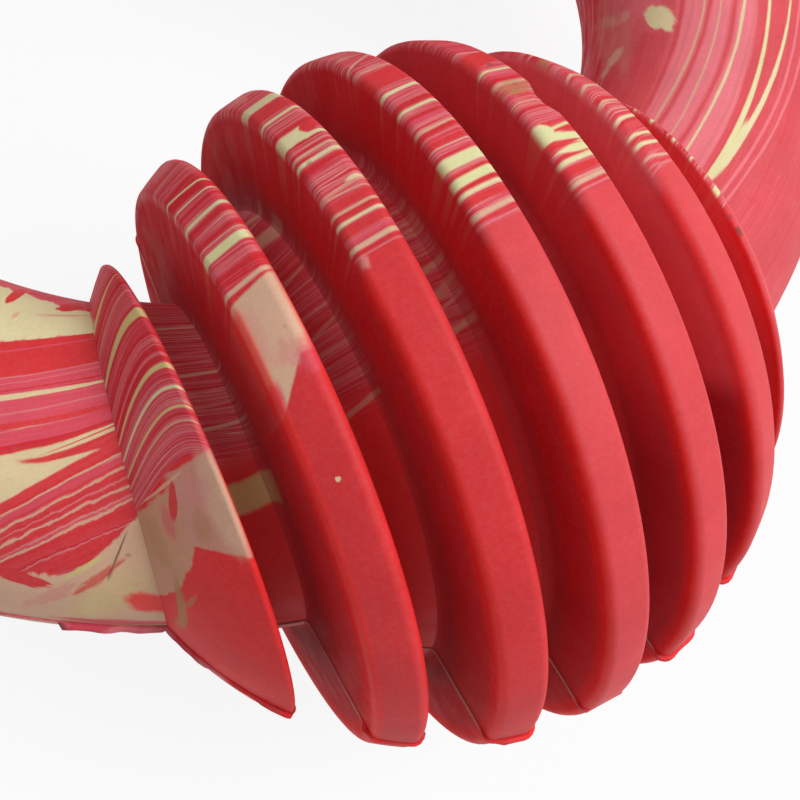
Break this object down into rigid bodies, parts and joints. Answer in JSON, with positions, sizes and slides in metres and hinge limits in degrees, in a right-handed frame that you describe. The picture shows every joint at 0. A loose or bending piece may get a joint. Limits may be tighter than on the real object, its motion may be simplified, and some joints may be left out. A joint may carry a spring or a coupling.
{
  "type": "rubber ring chew toy",
  "caption": "Ring-shaped marbled rubber chew toy: a round tube bent into a circle, carrying ribbed balls with parallel fins and deep grooves.",
  "frame": {"origin": "centre of the ring", "axes": "+Z along the ring's axis, square to the plane that it lies in; -Y towards ball a, the pictured one, and +X along that ball's axis from fin 1 to fin 7"},
  "size_m": [0.1372, 0.137, 0.055],
  "materials": {
    "tube_rubber": "matte, red marbled with pink and cream",
    "core_rubber": "matte, deep red with faint stripes",
    "fin_rubber": "matte red, cream and pink stripes on the upper rims"
  },
  "bodies": {
    "root": {"ball_a_core": "core_rubber", "ball_a_fin_1": "fin_rubber", "ball_a_fin_2": "fin_rubber", "ball_a_fin_3": "fin_rubber", "ball_a_fin_4": "fin_rubber", "ball_a_fin_5": "fin_rubber", "ball_a_fin_6": "fin_rubber", "ball_a_fin_7": "fin_rubber", "tube_ab": "tube_rubber", "ball_b_core": "core_rubber", "ball_b_fin_1": "fin_rubber", "ball_b_fin_2": "fin_rubber", "ball_b_fin_3": "fin_rubber", "ball_b_fin_4": "fin_rubber", "ball_b_fin_5": "fin_rubber", "ball_b_fin_6": "fin_rubber", "ball_b_fin_7": "fin_rubber", "tube_bc": "tube_rubber", "ball_c_core": "core_rubber", "ball_c_fin_1": "fin_rubber", "ball_c_fin_2": "fin_rubber", "ball_c_fin_3": "fin_rubber", "ball_c_fin_4": "fin_rubber", "ball_c_fin_5": "fin_rubber", "ball_c_fin_6": "fin_rubber", "ball_c_fin_7": "fin_rubber", "tube_ca": "tube_rubber"}
  },
  "joints": []
}
